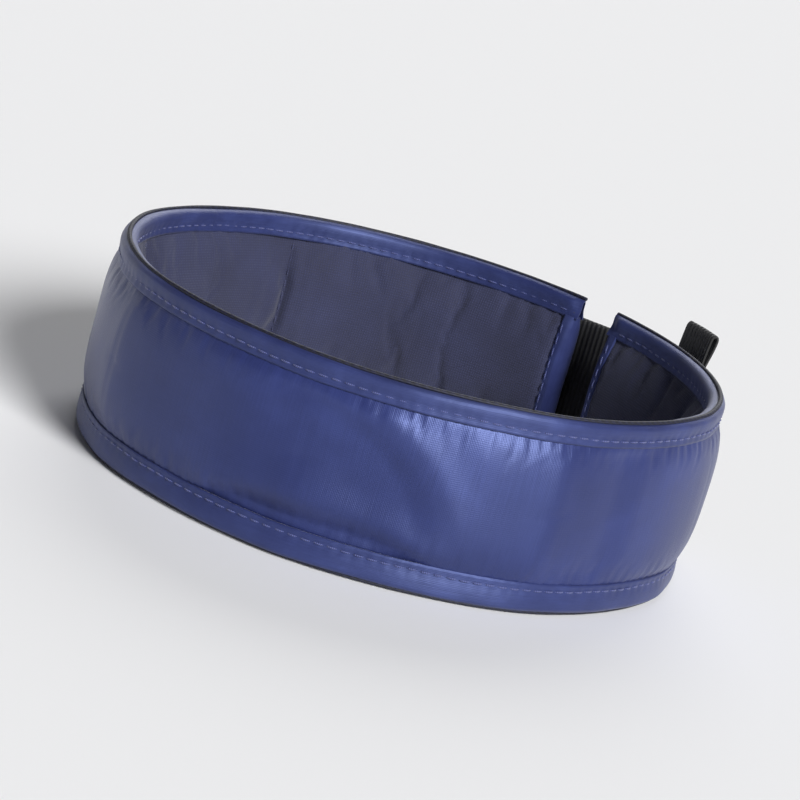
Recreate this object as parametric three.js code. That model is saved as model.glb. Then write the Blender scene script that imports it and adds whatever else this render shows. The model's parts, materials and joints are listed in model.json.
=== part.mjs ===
// A soft padded neck band for a dog: a satin cloth tube with a row of foam pads sewn into it,
// closed at the nape by a hook-and-loop strap. Millimetres, +Z up.
// The band stands on its lower edge, with the throat towards -Y, the nape towards +Y and the
// origin at the middle of the footprint. Angles run anticlockwise from +X, seen from above.
import * as THREE from 'three';

// ---- driving dimensions -------------------------------------------------------------------
const bandHeight = 43;
const ringOuter = 70;            // radius of the outer cloth's face
const padZone = 8;               // thickness of the band where it holds a pad
const cloth = 0.8;
const clearance = 0.3;           // between pieces that touch on the real object
const facet = 7.5;               // degrees per flat facet of every curved wall

const topBindingHeight = 5.5;
const bottomBindingHeight = 7;
const bindingLeaf = 0.7;         // thickness of each side of the folded binding tape
const bulge = 4.6;               // height over which the cloth swells from a binding to the pads

const cellAngle = 45;            // one pad and the fold beside it
const frontFold = -67.5;         // first fold line, on the dog's right of the throat
const rightEnd = 86.25;          // where the band's two ends stop, each side of the nape
const leftEnd = -266.25;
const foldGap = 0.2;             // each side of a fold line, at the outer face
const foamThickness = 5.4;
const foamMargin = 2;            // degrees kept free for the seam beside each pad

const loopThickness = 1.2;
const hookThickness = 1.2;
const strapThickness = 1.6;
const strapHeight = 30;
const hookHeight = 26;
const loopHeight = 24;
const strapSewnEnd = 120;
const strapLiftAngle = 90;       // where the strap starts to peel
const strapBendAngle = 75;
const strapTipAngle = 60;
const hookRootAngle = 85;        // the hook tape's end beside the nape
const loopFieldAngles = [48, 84];
const tabAngles = [66, 74];      // the pull tab stands up from the strap near its free end
const tabThickness = 1.2;
const tabLow = 29;
const tabHigh = 47;

// ---- worked out from them -----------------------------------------------------------------
const ringMiddle = ringOuter - padZone / 2;
const middleHeight = (bottomBindingHeight + bandHeight - topBindingHeight) / 2;
const loopInner = ringOuter + clearance + 0.1;
const hookInner = loopInner + loopThickness + clearance;
const strapInner = hookInner + hookThickness + clearance;
const strapOuter = strapInner + strapThickness;
const sewnStrapInner = ringOuter + clearance + 0.2;
const ringCentreY = -(strapOuter - ringOuter) / 2;
const foldTrim = THREE.MathUtils.radToDeg(foldGap / ringOuter);

const finish = {
  satin: { color: 0x46508a, roughness: 0.42, metalness: 0 },
  binding: { color: 0x3a447f, roughness: 0.5, metalness: 0 },
  lining: { color: 0x2b2e52, roughness: 0.8, metalness: 0 },
  foam: { color: 0xe6e1d4, roughness: 0.95, metalness: 0 },
  webbing: { color: 0x141418, roughness: 0.85, metalness: 0 },
  hook: { color: 0x0e0e11, roughness: 0.7, metalness: 0 },
  loop: { color: 0x17171b, roughness: 1, metalness: 0 },
};

const collar = new THREE.Group();
const ring = new THREE.Group();
ring.position.y = ringCentreY;
collar.add(ring);

function addPiece(name, geometry, look) {
  const mesh = new THREE.Mesh(geometry, new THREE.MeshStandardMaterial(look));
  mesh.name = name;
  ring.add(mesh);
}

// ---- curved walls ---------------------------------------------------------------------------
// The band's middle line, from one angle round to another.
class RingArc extends THREE.Curve {
  constructor(from, to) {
    super();
    this.from = THREE.MathUtils.degToRad(from);
    this.to = THREE.MathUtils.degToRad(to);
  }

  getPoint(t, target = new THREE.Vector3()) {
    const angle = THREE.MathUtils.lerp(this.from, this.to, t);
    return target.set(ringMiddle * Math.cos(angle), ringMiddle * Math.sin(angle), 0);
  }
}

// A section, given as [distance outside the middle line, height] points, swept round the ring.
function sweep(section, from, to) {
  const outline = new THREE.Shape(section.map(([out, height]) => new THREE.Vector2(-height, -out)));
  const steps = Math.max(1, Math.round((to - from) / facet));
  return new THREE.ExtrudeGeometry(outline, {
    steps,
    extrudePath: new RingArc(from, to),
    bevelEnabled: false,
  });
}

// An upright strip of tape that follows the ring at a radius given for each angle.
function strip(from, to, innerRadius, thickness, low, high) {
  const steps = Math.max(1, Math.ceil((to - from) / facet));
  const angles = Array.from({ length: steps + 1 }, (_, i) => THREE.MathUtils.lerp(from, to, i / steps));
  const corner = (angle, radius) => {
    const turn = THREE.MathUtils.degToRad(angle);
    return new THREE.Vector2(radius * Math.cos(turn), radius * Math.sin(turn));
  };
  const inner = angles.map((angle) => corner(angle, innerRadius(angle)));
  const outer = angles.map((angle) => corner(angle, innerRadius(angle) + thickness)).reverse();
  const outline = new THREE.Shape([...inner, ...outer]);
  return new THREE.ExtrudeGeometry(outline, { depth: high - low, bevelEnabled: false }).translate(0, 0, low);
}

// ---- the band's cloth -----------------------------------------------------------------------
const clothEdge = clearance / 2;                       // inner face of each cloth inside a binding
const pinchLow = bottomBindingHeight + 2 * clearance;
const pinchHigh = bandHeight - topBindingHeight - 2 * clearance;
const clothLow = bindingLeaf + clearance;
const clothHigh = bandHeight - bindingLeaf - clearance;

// side is +1 for the outer cloth and -1 for the lining: the same swell, mirrored.
function clothSection(side) {
  const swollen = padZone / 2 - cloth;
  const nearFace = [
    [clothEdge, clothLow],
    [clothEdge, pinchLow],
    [swollen, pinchLow + bulge],
    [swollen, pinchHigh - bulge],
    [clothEdge, pinchHigh],
    [clothEdge, clothHigh],
  ];
  const farFace = nearFace.map(([out, height]) => [out + cloth, height]).reverse();
  return [...nearFace, ...farFace].map(([out, height]) => [side * out, height]);
}

// A folded tape over one edge: two leaves joined across the edge. It opens towards openAt.
function bindingSection(edgeAt, openAt) {
  const inside = clothEdge + cloth + clearance;
  const outside = inside + bindingLeaf;
  const fold = edgeAt + Math.sign(openAt - edgeAt) * bindingLeaf;
  return [
    [-outside, edgeAt],
    [outside, edgeAt],
    [outside, openAt],
    [inside, openAt],
    [inside, fold],
    [-inside, fold],
    [-inside, openAt],
    [-outside, openAt],
  ];
}

function foamSection() {
  const half = foamThickness / 2;
  const slope = bulge / (padZone / 2 - cloth - clothEdge);
  const tip = 0.8;                                     // half thickness at the pad's thin edges
  const tipInset = slope * (tip + 2 * clearance - clothEdge);
  const shoulderInset = slope * (half + 2 * clearance - clothEdge);
  const low = pinchLow;
  const high = pinchHigh;
  return [
    [half, low + shoulderInset],
    [half, high - shoulderInset],
    [tip, high - tipInset],
    [-tip, high - tipInset],
    [-half, high - shoulderInset],
    [-half, low + shoulderInset],
    [-tip, low + tipInset],
    [tip, low + tipInset],
  ];
}

// The cloth that closes the tube at one of the band's two ends.
function facingSection() {
  const half = padZone / 2;
  const neck = clothEdge + cloth;
  return [
    [neck, pinchLow],
    [half, pinchLow + bulge],
    [half, pinchHigh - bulge],
    [neck, pinchHigh],
    [-neck, pinchHigh],
    [-half, pinchHigh - bulge],
    [-half, pinchLow + bulge],
    [-neck, pinchLow],
  ];
}

// ---- stretches of the band between fold lines ---------------------------------------------------
const facingAngle = THREE.MathUtils.radToDeg((cloth + clearance) / ringMiddle);
const facingWidth = THREE.MathUtils.radToDeg(cloth / ringMiddle);

const folds = [0, 1, 2, 3].map((count) => frontFold - count * cellAngle);
const lastSeam = frontFold + 2 * cellAngle;             // beside the longer pad at each end
const stretches = [
  { place: 'right', from: folds[0] + foldTrim, to: rightEnd },
  { place: 'front', from: folds[1] + foldTrim, to: folds[0] - foldTrim },
  { place: 'left_front', from: folds[2] + foldTrim, to: folds[1] - foldTrim },
  { place: 'left_side', from: folds[3] + foldTrim, to: folds[2] - foldTrim },
  { place: 'left_end', from: leftEnd, to: folds[3] - foldTrim },
];
const pads = [
  { place: 'right_end', from: lastSeam, to: rightEnd },
  { place: 'right_side', from: lastSeam - cellAngle, to: lastSeam },
  { place: 'right_front', from: folds[0], to: folds[0] + cellAngle },
  { place: 'front', from: folds[1], to: folds[0] },
  { place: 'left_front', from: folds[2], to: folds[1] },
  { place: 'left_side', from: folds[3], to: folds[2] },
  { place: 'left_end', from: leftEnd, to: folds[3] },
];

function addStretch({ place, from, to }) {
  const clothFrom = from === leftEnd ? from + facingAngle : from;
  const clothTo = to === rightEnd ? to - facingAngle : to;
  addPiece(`outer_cloth_${place}`, sweep(clothSection(1), clothFrom, clothTo), finish.satin);
  addPiece(`lining_${place}`, sweep(clothSection(-1), clothFrom, clothTo), finish.lining);
  const topSection = bindingSection(bandHeight, bandHeight - topBindingHeight);
  const bottomSection = bindingSection(0, bottomBindingHeight);
  addPiece(`top_binding_${place}`, sweep(topSection, from, to), finish.binding);
  addPiece(`bottom_binding_${place}`, sweep(bottomSection, from, to), finish.binding);
}

function addPad({ place, from, to }) {
  addPiece(`foam_pad_${place}`, sweep(foamSection(), from + foamMargin, to - foamMargin), finish.foam);
}

stretches.forEach(addStretch);
pads.forEach(addPad);
addPiece('end_facing_right', sweep(facingSection(), rightEnd - facingWidth, rightEnd), finish.satin);
addPiece('end_facing_left', sweep(facingSection(), leftEnd, leftEnd + facingWidth), finish.satin);

// ---- the closure at the nape ----------------------------------------------------------------------
const liftTrim = THREE.MathUtils.radToDeg(foldGap / strapOuter);

// A tape of the closure, level and centred on the band's height.
function addTape(name, from, to, innerRadius, thickness, height, look) {
  const low = middleHeight - height / 2;
  addPiece(name, strip(from, to, innerRadius, thickness, low, low + height), look);
}

function addStrap(name, from, to, innerRadius) {
  addTape(name, from, to, innerRadius, strapThickness, strapHeight, finish.webbing);
}

function addHook(name, from, to) {
  addTape(name, from, to, () => hookInner, hookThickness, hookHeight, finish.hook);
}

// Sewn flat on the left end, the strap climbs to clear the hook and loop layers on the right end.
function sewnStrap(angle) {
  const leftEndAngle = leftEnd + 360;
  const climb = THREE.MathUtils.clamp((leftEndAngle - angle) / (leftEndAngle - strapLiftAngle), 0, 1);
  return THREE.MathUtils.lerp(sewnStrapInner, strapInner, climb);
}

addTape('loop_field', ...loopFieldAngles, () => loopInner, loopThickness, loopHeight, finish.loop);
addStrap('strap_sewn_end', strapLiftAngle + liftTrim, strapSewnEnd, sewnStrap);
addStrap('strap_middle', strapBendAngle + liftTrim, strapLiftAngle - liftTrim, () => strapInner);
addStrap('strap_free_end', strapTipAngle, strapBendAngle - liftTrim, () => strapInner);
addHook('hook_tape_middle', strapBendAngle + liftTrim, hookRootAngle);
addHook('hook_tape_free_end', strapTipAngle, strapBendAngle - liftTrim);
const tab = strip(...tabAngles, () => strapOuter + clearance, tabThickness, tabLow, tabHigh);
addPiece('pull_tab', tab, finish.webbing);

export default collar;
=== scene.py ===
"""The looks of a soft padded neck band for a dog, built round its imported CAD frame.

Every soft wall is a grid of points: one row of angles round the ring, and at each angle a closed
section. Angles are in degrees, anticlockwise from +X seen from above. Lengths are in metres.
"""

import json
import math

import bpy
import numpy as np
from mathutils import Matrix, Vector


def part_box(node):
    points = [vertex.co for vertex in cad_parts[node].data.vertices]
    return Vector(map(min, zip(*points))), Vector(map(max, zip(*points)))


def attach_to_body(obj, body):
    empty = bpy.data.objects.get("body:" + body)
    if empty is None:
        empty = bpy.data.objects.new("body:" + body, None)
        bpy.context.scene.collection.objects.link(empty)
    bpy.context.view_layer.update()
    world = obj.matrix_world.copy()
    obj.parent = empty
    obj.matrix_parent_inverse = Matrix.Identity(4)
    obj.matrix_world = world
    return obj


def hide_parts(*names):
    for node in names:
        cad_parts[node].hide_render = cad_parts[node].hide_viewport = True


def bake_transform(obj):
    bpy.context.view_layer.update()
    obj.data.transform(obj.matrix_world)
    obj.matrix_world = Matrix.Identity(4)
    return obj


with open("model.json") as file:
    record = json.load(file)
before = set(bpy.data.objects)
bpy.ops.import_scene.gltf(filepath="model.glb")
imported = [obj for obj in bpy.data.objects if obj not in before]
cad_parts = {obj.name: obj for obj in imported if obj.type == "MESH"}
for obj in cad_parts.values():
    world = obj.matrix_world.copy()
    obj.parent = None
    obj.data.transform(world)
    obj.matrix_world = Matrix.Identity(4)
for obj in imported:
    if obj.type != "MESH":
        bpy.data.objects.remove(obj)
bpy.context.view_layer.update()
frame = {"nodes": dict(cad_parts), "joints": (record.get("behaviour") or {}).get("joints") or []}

MM = 0.001
UP = np.array([0, 0, 1.0])
SQUARE = [(-1, -1), (1, -1), (1, 1), (-1, 1)]  # its corners, anticlockwise

# ---- what the frame says ----

RING_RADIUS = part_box("outer_cloth_right")[1].x
CENTRE_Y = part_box("outer_cloth_front")[0].y + RING_RADIUS
joints = {joint["name"]: joint for joint in frame["joints"]}


def levels(node):
    """The heights of a part's lowest and highest points."""
    low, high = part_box(node)
    return low.z, high.z


def half_height(node):
    low, high = levels(node)
    return (high - low) / 2


def angle_of(x, y):
    return math.degrees(math.atan2(y - CENTRE_Y, x))


def hinge_angle(name):
    x, y, _ = joints[name]["pos_m"]
    return angle_of(x, y)


def node_angle(node):
    low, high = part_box(node)
    return angle_of((low.x + high.x) / 2, (low.y + high.y) / 2)


def node_span(node):
    """The two angles between which a tape of the closure lies."""
    angles = [angle_of(vertex.co.x, vertex.co.y) for vertex in frame["nodes"][node].data.vertices]
    return min(angles), max(angles)


def below_zero(angle):
    """The same direction as an angle of the band's left side, which is counted down from 0."""
    return angle - 360 if angle > 0 else angle


TOP_SEAM, BAND_TOP = levels("top_binding_right")
BOTTOM_SEAM = levels("bottom_binding_right")[1]
PAD_LOW, PAD_HIGH = levels("foam_pad_front")
TAB_LOW, TAB_HIGH = levels("pull_tab")
TAPE_MIDDLE = sum(levels("strap_middle")) / 2
STRAP_HALF = half_height("strap_middle")
HOOK_HALF = half_height("hook_tape_middle")
LOOP_HALF = half_height("loop_field")

RIGHT_END = node_angle("end_facing_right")
LEFT_END = node_angle("end_facing_left") - 360
FOLD_NAMES = ["fold_left_back", "fold_left_side", "fold_front_left", "fold_front_right"]
FOLDS = [below_zero(hinge_angle(name)) for name in FOLD_NAMES]
CELL = FOLDS[1] - FOLDS[0]
CORNERS = [LEFT_END, *FOLDS, FOLDS[-1] + CELL, FOLDS[-1] + 2 * CELL, RIGHT_END]
PEEL_ANGLE = hinge_angle("strap_peel")
CURL_ANGLE = hinge_angle("strap_curl")
STRAP_CUT = (PEEL_ANGLE + CURL_ANGLE) / 2  # where the strap's two pieces meet
HINGE_RADIUS = math.hypot(joints["strap_peel"]["pos_m"][0], joints["strap_peel"]["pos_m"][1] - CENTRE_Y)
LOOP_FROM, LOOP_TO = node_span("loop_field")
STRAP_TIP = node_span("strap_free_end")[0]
STRAP_ROOT = node_span("strap_sewn_end")[1]
HOOK_ROOT = node_span("hook_tape_middle")[1]
TAB_FROM, TAB_TO = node_span("pull_tab")
STRAP_START = 360 + LEFT_END  # the band's left end, in the closure's own count
SEWN_ZONES = [(LOOP_FROM, LOOP_TO), (LEFT_END, STRAP_ROOT - 360)]  # where a tape holds the cloth flat

# The band is cut midway between folds, where both sides of the cut move with one body.
STRETCHES = [
    {"name": "left_end", "bodies": ("band_left_end", "band_left_side"), "fold": FOLDS[0],
     "stands_for": ["left_end"], "pads": ["left_end", "left_side"]},
    {"name": "left_side", "bodies": ("band_left_side", "band_left_front"), "fold": FOLDS[1],
     "stands_for": ["left_side"], "pads": ["left_side", "left_front"]},
    {"name": "left_front", "bodies": ("band_left_front", "band_front"), "fold": FOLDS[2],
     "stands_for": ["left_front"], "pads": ["left_front", "front"]},
    {"name": "right", "bodies": ("band_front", "band_right"), "fold": FOLDS[3],
     "stands_for": ["front", "right"], "pads": ["front", "right_front", "right_side", "right_end"]},
]
CUTS = [LEFT_END, *[fold + CELL / 2 for fold in FOLDS[:3]], RIGHT_END]

# ---- sizes of the soft pieces ----

CLOTH_THICKNESS = 0.5 * MM
COLUMN_STEP = 0.75  # degrees between columns of the simulated cloth
ROW_STEP = 1.0 * MM
FEWEST_ROWS = 8
TUCK = 1.6 * MM  # how far the cloth reaches under a binding
CLOTH_PINCH = 2.5 * MM  # outer face of the cloth inside RING_RADIUS, at a binding
BINDING_FACE = 1.9 * MM  # outer face of a binding inside RING_RADIUS
BINDING_THICKNESS = 3.4 * MM
LINING_DEPTH = 7.5 * MM  # neck face of the lining inside RING_RADIUS
LINING_PINCH = 4.9 * MM
FACING_TRIM = 1.0  # degrees between the cloth's last column and the band's end
SHADE_CORD_RADIUS = 0.42 * MM  # the near-black cord along the edges, standing in for their shade: painted shade
STITCH_PITCH = 2.9 * MM
STITCH_LENGTH = 2.1 * MM
STITCH_WIDTH = 0.36 * MM

# ---- curves and places ----


def smooth_step(value):
    t = np.clip(value, 0, 1)
    return t * t * (3 - 2 * t)


def crease(distance, width):
    """1 on a line, falling away smoothly on both sides."""
    return np.exp(-((distance / width) ** 2))


def window(values, low, high, soft):
    """1 between low and high, falling to 0 over the distance soft outside them."""
    return smooth_step((values - low) / soft + 1) * smooth_step((high - values) / soft + 1)


def squared(wave, power):
    """A sine or cosine with its corners filled out: 1 leaves it round, and 0 makes it a box."""
    return np.sign(wave) * np.abs(wave) ** power


def smooth_noise(x, y, seed):
    """A gentle repeatable unevenness between about -1 and 1, from a few sine waves."""
    rng = np.random.default_rng(seed)
    total = np.zeros(np.broadcast(x, y).shape)
    for _ in range(9):
        kx, ky = rng.normal(0, 1, 2)
        total = total + np.sin(kx * x + ky * y + rng.uniform(0, 2 * math.pi))
    return total / 4


def waves(arcs, heights, size, seed):
    """Unevenness of a surface. size is the scales of the noise along it and up it, and its depth."""
    length, height, depth = size
    return depth * smooth_noise(arcs / length, heights / height, seed)


def arc_of(turn):
    """The length round the ring of a turn in degrees."""
    return np.radians(turn) * RING_RADIUS


def turn_of(arc):
    """The turn in degrees that a length round the ring takes."""
    return np.degrees(arc / RING_RADIUS)


def outward(angle):
    """The level direction away from the ring's axis."""
    return np.array([math.cos(math.radians(angle)), math.sin(math.radians(angle)), 0])


def onward(angle):
    """The level direction round the ring, anticlockwise."""
    return outward(angle + 90)


def ring_points(angles, radii, heights):
    """Points at the given angles, distances from the ring's axis and heights, of any one shape."""
    turn = np.radians(angles)
    return np.stack([radii * np.cos(turn), CENTRE_Y + radii * np.sin(turn), heights + 0 * radii], axis=-1)


def ring_point(angle, radius, height):
    return Vector(ring_points(np.array(angle), np.array(radius), np.array(height)).tolist())


# ---- the plan: nearly round, with flatter cells between corners ----

PAD_FLATNESS = 0.4  # 0 is a round cell and 1 a flat one
HEM_FLATNESS = 0.16
END_FLATNESS = 0.03  # of the long cells beside the nape
PAD_CORNER = 0.8  # degrees over which a corner turns
HEM_CORNER = 5.0
CORNER_PROUD = 0.8 * MM  # how far the corners stand outside RING_RADIUS
PROUD_INSET = 6  # degrees inside the outermost corners where they begin to stand out less
PROUD_FADE = 8  # degrees over which that happens
LONG_CELL = 1.2  # times CELL: only the cells beside the nape are longer than this
PLAN_STEP = 0.25  # degrees between samples
PLAN_MARGIN = 3  # degrees that the plan goes on past the band's ends
KERNEL_REACH = 4  # standard deviations


def make_plan(flatness, softness):
    """Sample angles round the band and how far inside RING_RADIUS its face lies at each."""
    angles = np.arange(LEFT_END - PLAN_MARGIN, RIGHT_END + PLAN_MARGIN, PLAN_STEP)
    inset = np.zeros_like(angles)
    for low, high in zip(CORNERS[:-1], CORNERS[1:]):
        half, centre = (high - low) / 2, (high + low) / 2
        share = END_FLATNESS if half > LONG_CELL * CELL / 2 else flatness
        inside = (angles >= low) & (angles <= high)
        chord = math.cos(math.radians(half)) / np.cos(np.radians(angles[inside] - centre))
        inset[inside] = share * RING_RADIUS * (1 - chord)
    reach = int(KERNEL_REACH * softness / PLAN_STEP)
    offsets = np.arange(-reach, reach + 1) * PLAN_STEP
    kernel = np.exp(-0.5 * (offsets / softness) ** 2)
    smoothed = np.convolve(np.pad(inset, reach, mode="edge"), kernel / kernel.sum(), mode="valid")
    between = window(angles, CORNERS[1] + PROUD_INSET, CORNERS[-2] - PROUD_INSET, PROUD_FADE)
    return angles, smoothed - CORNER_PROUD * between * flatness / PAD_FLATNESS


PAD_PLAN = make_plan(PAD_FLATNESS, PAD_CORNER)
HEM_PLAN = make_plan(HEM_FLATNESS, HEM_CORNER)


def face_radius(angles, fullness=1.0):
    """The band's outer face: over the pads where fullness is 1, and along the hems where it is 0."""
    pad, hem = np.interp(angles, *PAD_PLAN), np.interp(angles, *HEM_PLAN)
    return RING_RADIUS - fullness * pad - (1 - fullness) * hem


# ---- materials ----

WAVE_SCALE = 0.314  # makes a wave texture repeat once in each unit
QUARTER_TURN = 0.25
SATIN_SHINE = {"Specular_IOR_Level": 1.0, "Specular_Tint": (0.42, 0.52, 1.0, 1), "Anisotropic": 0.6}


def linear(shade):
    """A colour given in 8-bit sRGB, as the shader wants it."""
    values = [channel / 255 for channel in shade]
    return tuple(v / 12.92 if v <= 0.04045 else ((v + 0.055) / 1.055) ** 2.4 for v in values)


class Look:
    """A node material built up step by step. Textures run on the piece's own cloth lengths, and
    their scales are repeats per metre along and across the cloth."""

    def __init__(self, name, roughness, **shader_values):
        self.material = bpy.data.materials.new(name)
        self.material.use_nodes = True
        self.nodes = self.material.node_tree.nodes
        self.links = self.material.node_tree.links
        self.shader = self.nodes["Principled BSDF"]
        self.shader.inputs["Roughness"].default_value = roughness
        for socket, value in shader_values.items():
            self.shader.inputs[socket.replace("_", " ")].default_value = value
        self.cloth_lengths = self.nodes.new("ShaderNodeUVMap")
        self.cloth_lengths.uv_map = "cloth"

    def shine_across(self):
        """Highlights are drawn out across the band, as on satin whose smooth yarns run round it."""
        tangent = self.nodes.new("ShaderNodeTangent")
        tangent.direction_type = "UV_MAP"
        tangent.uv_map = "cloth"
        self.links.new(tangent.outputs["Tangent"], self.shader.inputs["Tangent"])
        self.shader.inputs["Anisotropic Rotation"].default_value = QUARTER_TURN

    def texture(self, kind, along, across, **values):
        mapping = self.nodes.new("ShaderNodeMapping")
        mapping.inputs["Scale"].default_value = (along, across, 1)
        self.links.new(self.cloth_lengths.outputs["UV"], mapping.inputs["Vector"])
        texture = self.nodes.new(kind)
        self.links.new(mapping.outputs["Vector"], texture.inputs["Vector"])
        for socket, value in values.items():
            texture.inputs[socket].default_value = value
        return texture

    def noise(self, along, across, detail=3.0, roughness=0.55):
        values = {"Scale": 1, "Detail": detail, "Roughness": roughness}
        return self.texture("ShaderNodeTexNoise", along, across, **values).outputs["Fac"]

    def ribs(self, along, across, run="X"):
        """Ribs that follow one another along X or Y, or at an angle as a twisted cord's strands do."""
        texture = self.texture("ShaderNodeTexWave", along, across, Scale=WAVE_SCALE)
        texture.bands_direction = run
        return texture.outputs["Fac"]

    def cells(self, per_metre):
        return self.texture("ShaderNodeTexVoronoi", per_metre, per_metre, Scale=1).outputs["Distance"]

    def mix(self, *parts):
        """A weighted sum of (output, weight) pairs."""
        total = None
        for output, weight in parts:
            share = self.combine("MULTIPLY", output, weight)
            total = share if total is None else self.combine("ADD", total, share)
        return total

    def combine(self, operation, a, b):
        node = self.nodes.new("ShaderNodeMath")
        node.operation = operation
        for socket, value in zip(node.inputs, (a, b)):
            if isinstance(value, (int, float)):
                socket.default_value = value
            else:
                self.links.new(value, socket)
        return node.outputs["Value"]

    def colour(self, factor, *stops):
        """The base colour: each stop is (position, 8-bit sRGB colour)."""
        node = self.nodes.new("ShaderNodeValToRGB")
        while len(node.color_ramp.elements) < len(stops):
            node.color_ramp.elements.new(0.5)
        for element, (position, shade) in zip(node.color_ramp.elements, stops):
            element.position = position
            element.color = (*linear(shade), 1)
        self.links.new(factor, node.inputs["Fac"])
        self.links.new(node.outputs["Color"], self.shader.inputs["Base Color"])

    def roughness(self, factor, low, high):
        node = self.nodes.new("ShaderNodeMapRange")
        node.inputs["To Min"].default_value = low
        node.inputs["To Max"].default_value = high
        self.links.new(factor, node.inputs["Value"])
        self.links.new(node.outputs["Result"], self.shader.inputs["Roughness"])

    def bumps(self, *layers):
        """Each layer is (height output, depth in millimetres)."""
        previous = None
        for height, depth in layers:
            node = self.nodes.new("ShaderNodeBump")
            node.inputs["Strength"].default_value = 1
            node.inputs["Distance"].default_value = depth * MM
            self.links.new(height, node.inputs["Height"])
            if previous is not None:
                self.links.new(previous, node.inputs["Normal"])
            previous = node.outputs["Normal"]
        self.links.new(previous, self.shader.inputs["Normal"])


def make_satin():
    look = Look("blue_satin", 0.4, Sheen_Weight=0.06, Sheen_Roughness=0.4, **SATIN_SHINE)
    look.shine_across()
    streaks = look.noise(2600, 70, detail=2)
    clouds = look.noise(38, 50, detail=3)
    threads = look.ribs(3000, 1)
    picks = look.ribs(1, 2400, "Y")
    mixed = look.mix((streaks, 0.25), (clouds, 0.75))
    look.colour(mixed, (0.3, (31, 37, 78)), (0.52, (38, 45, 91)), (0.74, (48, 57, 109)))
    look.roughness(look.mix((streaks, 0.6), (clouds, 0.4)), 0.34, 0.48)
    look.bumps((clouds, 0.12), (streaks, 0.02), (threads, 0.01), (picks, 0.01))
    return look.material


def make_binding_satin():
    look = Look("blue_binding", 0.5, Sheen_Weight=0.08, Sheen_Roughness=0.4, **SATIN_SHINE)
    look.shine_across()
    streaks = look.noise(120, 2600, detail=2)
    clouds = look.noise(110, 150, detail=4)
    threads = look.ribs(1, 3000, "Y")
    mixed = look.mix((streaks, 0.3), (clouds, 0.7))
    look.colour(mixed, (0.3, (34, 40, 80)), (0.52, (42, 49, 93)), (0.74, (52, 61, 110)))
    look.roughness(look.mix((streaks, 0.5), (clouds, 0.5)), 0.42, 0.6)
    look.bumps((clouds, 0.2), (streaks, 0.04), (threads, 0.012))
    return look.material


def make_lining():
    look = Look("navy_lining", 0.8, Sheen_Weight=0.12, Sheen_Roughness=0.6)
    weave = look.combine("MULTIPLY", look.ribs(1700, 1), look.ribs(1, 1700, "Y"))
    clouds = look.noise(60, 60, detail=5)
    fluff = look.noise(2200, 2200, detail=2)
    mixed = look.mix((fluff, 0.35), (clouds, 0.45), (weave, 0.2))
    look.colour(mixed, (0.25, (27, 29, 54)), (0.5, (38, 42, 74)), (0.72, (51, 56, 92)))
    look.roughness(fluff, 0.7, 0.95)
    look.bumps((clouds, 0.3), (weave, 0.06), (fluff, 0.04))
    return look.material


def make_shade_cord():
    look = Look("navy_edge_shade_cord", 0.6)
    twist = look.ribs(1100, 450, "DIAGONAL")
    fluff = look.noise(900, 1500)
    mixed = look.mix((twist, 0.6), (fluff, 0.4))
    # near-black navy, darker than the lining's own navy: painted shade along the folded edges
    look.colour(mixed, (0.15, (10, 11, 24)), (0.5, (16, 18, 38)), (0.85, (24, 27, 53)))
    look.roughness(fluff, 0.5, 0.75)
    look.bumps((twist, 0.03), (fluff, 0.02))
    return look.material


def make_webbing():
    look = Look("black_webbing", 0.7, Sheen_Weight=0.2, Sheen_Roughness=0.5)
    ribs = look.ribs(850, 1)
    yarns = look.noise(500, 2500, detail=2)
    mixed = look.combine("MULTIPLY", ribs, yarns)
    look.colour(mixed, (0.0, (9, 9, 11)), (0.35, (21, 21, 25)), (0.8, (40, 40, 45)))
    look.roughness(yarns, 0.55, 0.85)
    look.bumps((ribs, 0.22), (yarns, 0.05))
    return look.material


def make_hook():
    look = Look("black_hook_tape", 0.45)
    grain = look.noise(1500, 1500)
    look.colour(grain, (0.3, (15, 15, 18)), (0.7, (40, 40, 46)))
    look.roughness(grain, 0.35, 0.6)
    look.bumps((grain, 0.05))
    return look.material


def make_loop():
    look = Look("black_loop_pile", 0.95, Sheen_Weight=0.25, Sheen_Roughness=0.6)
    pile = look.noise(1800, 1800, detail=5, roughness=0.7)
    tufts = look.noise(300, 300, detail=3)
    mixed = look.combine("MULTIPLY", pile, tufts)
    look.colour(mixed, (0.05, (8, 8, 10)), (0.25, (22, 22, 27)), (0.5, (48, 48, 56)))
    look.roughness(pile, 0.85, 1.0)
    look.bumps((tufts, 0.5), (pile, 0.4))
    return look.material


def make_foam():
    look = Look("open_cell_foam", 0.95)
    cells = look.cells(1400)
    clouds = look.noise(90, 90)
    mixed = look.combine("MULTIPLY", cells, clouds)
    look.colour(mixed, (0.05, (176, 168, 150)), (0.3, (224, 218, 204)), (0.6, (240, 236, 226)))
    look.roughness(clouds, 0.85, 1.0)
    look.bumps((cells, 0.35), (clouds, 0.3))
    return look.material


def make_thread(name, dark, light):
    look = Look(name, 0.55, Sheen_Weight=0.3)
    twist = look.ribs(2500, 1)
    look.colour(twist, (0.1, dark), (0.8, light))
    look.roughness(twist, 0.45, 0.65)
    look.bumps((twist, 0.06))
    return look.material


SATIN = make_satin()
BINDING = make_binding_satin()
LINING = make_lining()
SHADE_CORD = make_shade_cord()
WEBBING = make_webbing()
HOOK = make_hook()
LOOP = make_loop()
FOAM = make_foam()
BLUE_THREAD = make_thread("blue_thread", (44, 50, 98), (78, 88, 148))
NAVY_THREAD = make_thread("navy_thread", (26, 29, 58), (56, 61, 104))
BLACK_THREAD = make_thread("black_thread", (24, 24, 28), (66, 66, 74))


# ---- meshes from grids ----

TINY = 1e-12  # keeps a division by a length from failing


def grid_normals(points):
    """Unit normals of a grid that closes on itself along its second axis."""
    along = np.gradient(points, axis=0)
    across = (np.roll(points, -1, axis=1) - np.roll(points, 1, axis=1)) / 2
    normals = np.cross(along, across)
    return normals / np.maximum(np.linalg.norm(normals, axis=2, keepdims=True), TINY)


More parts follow.
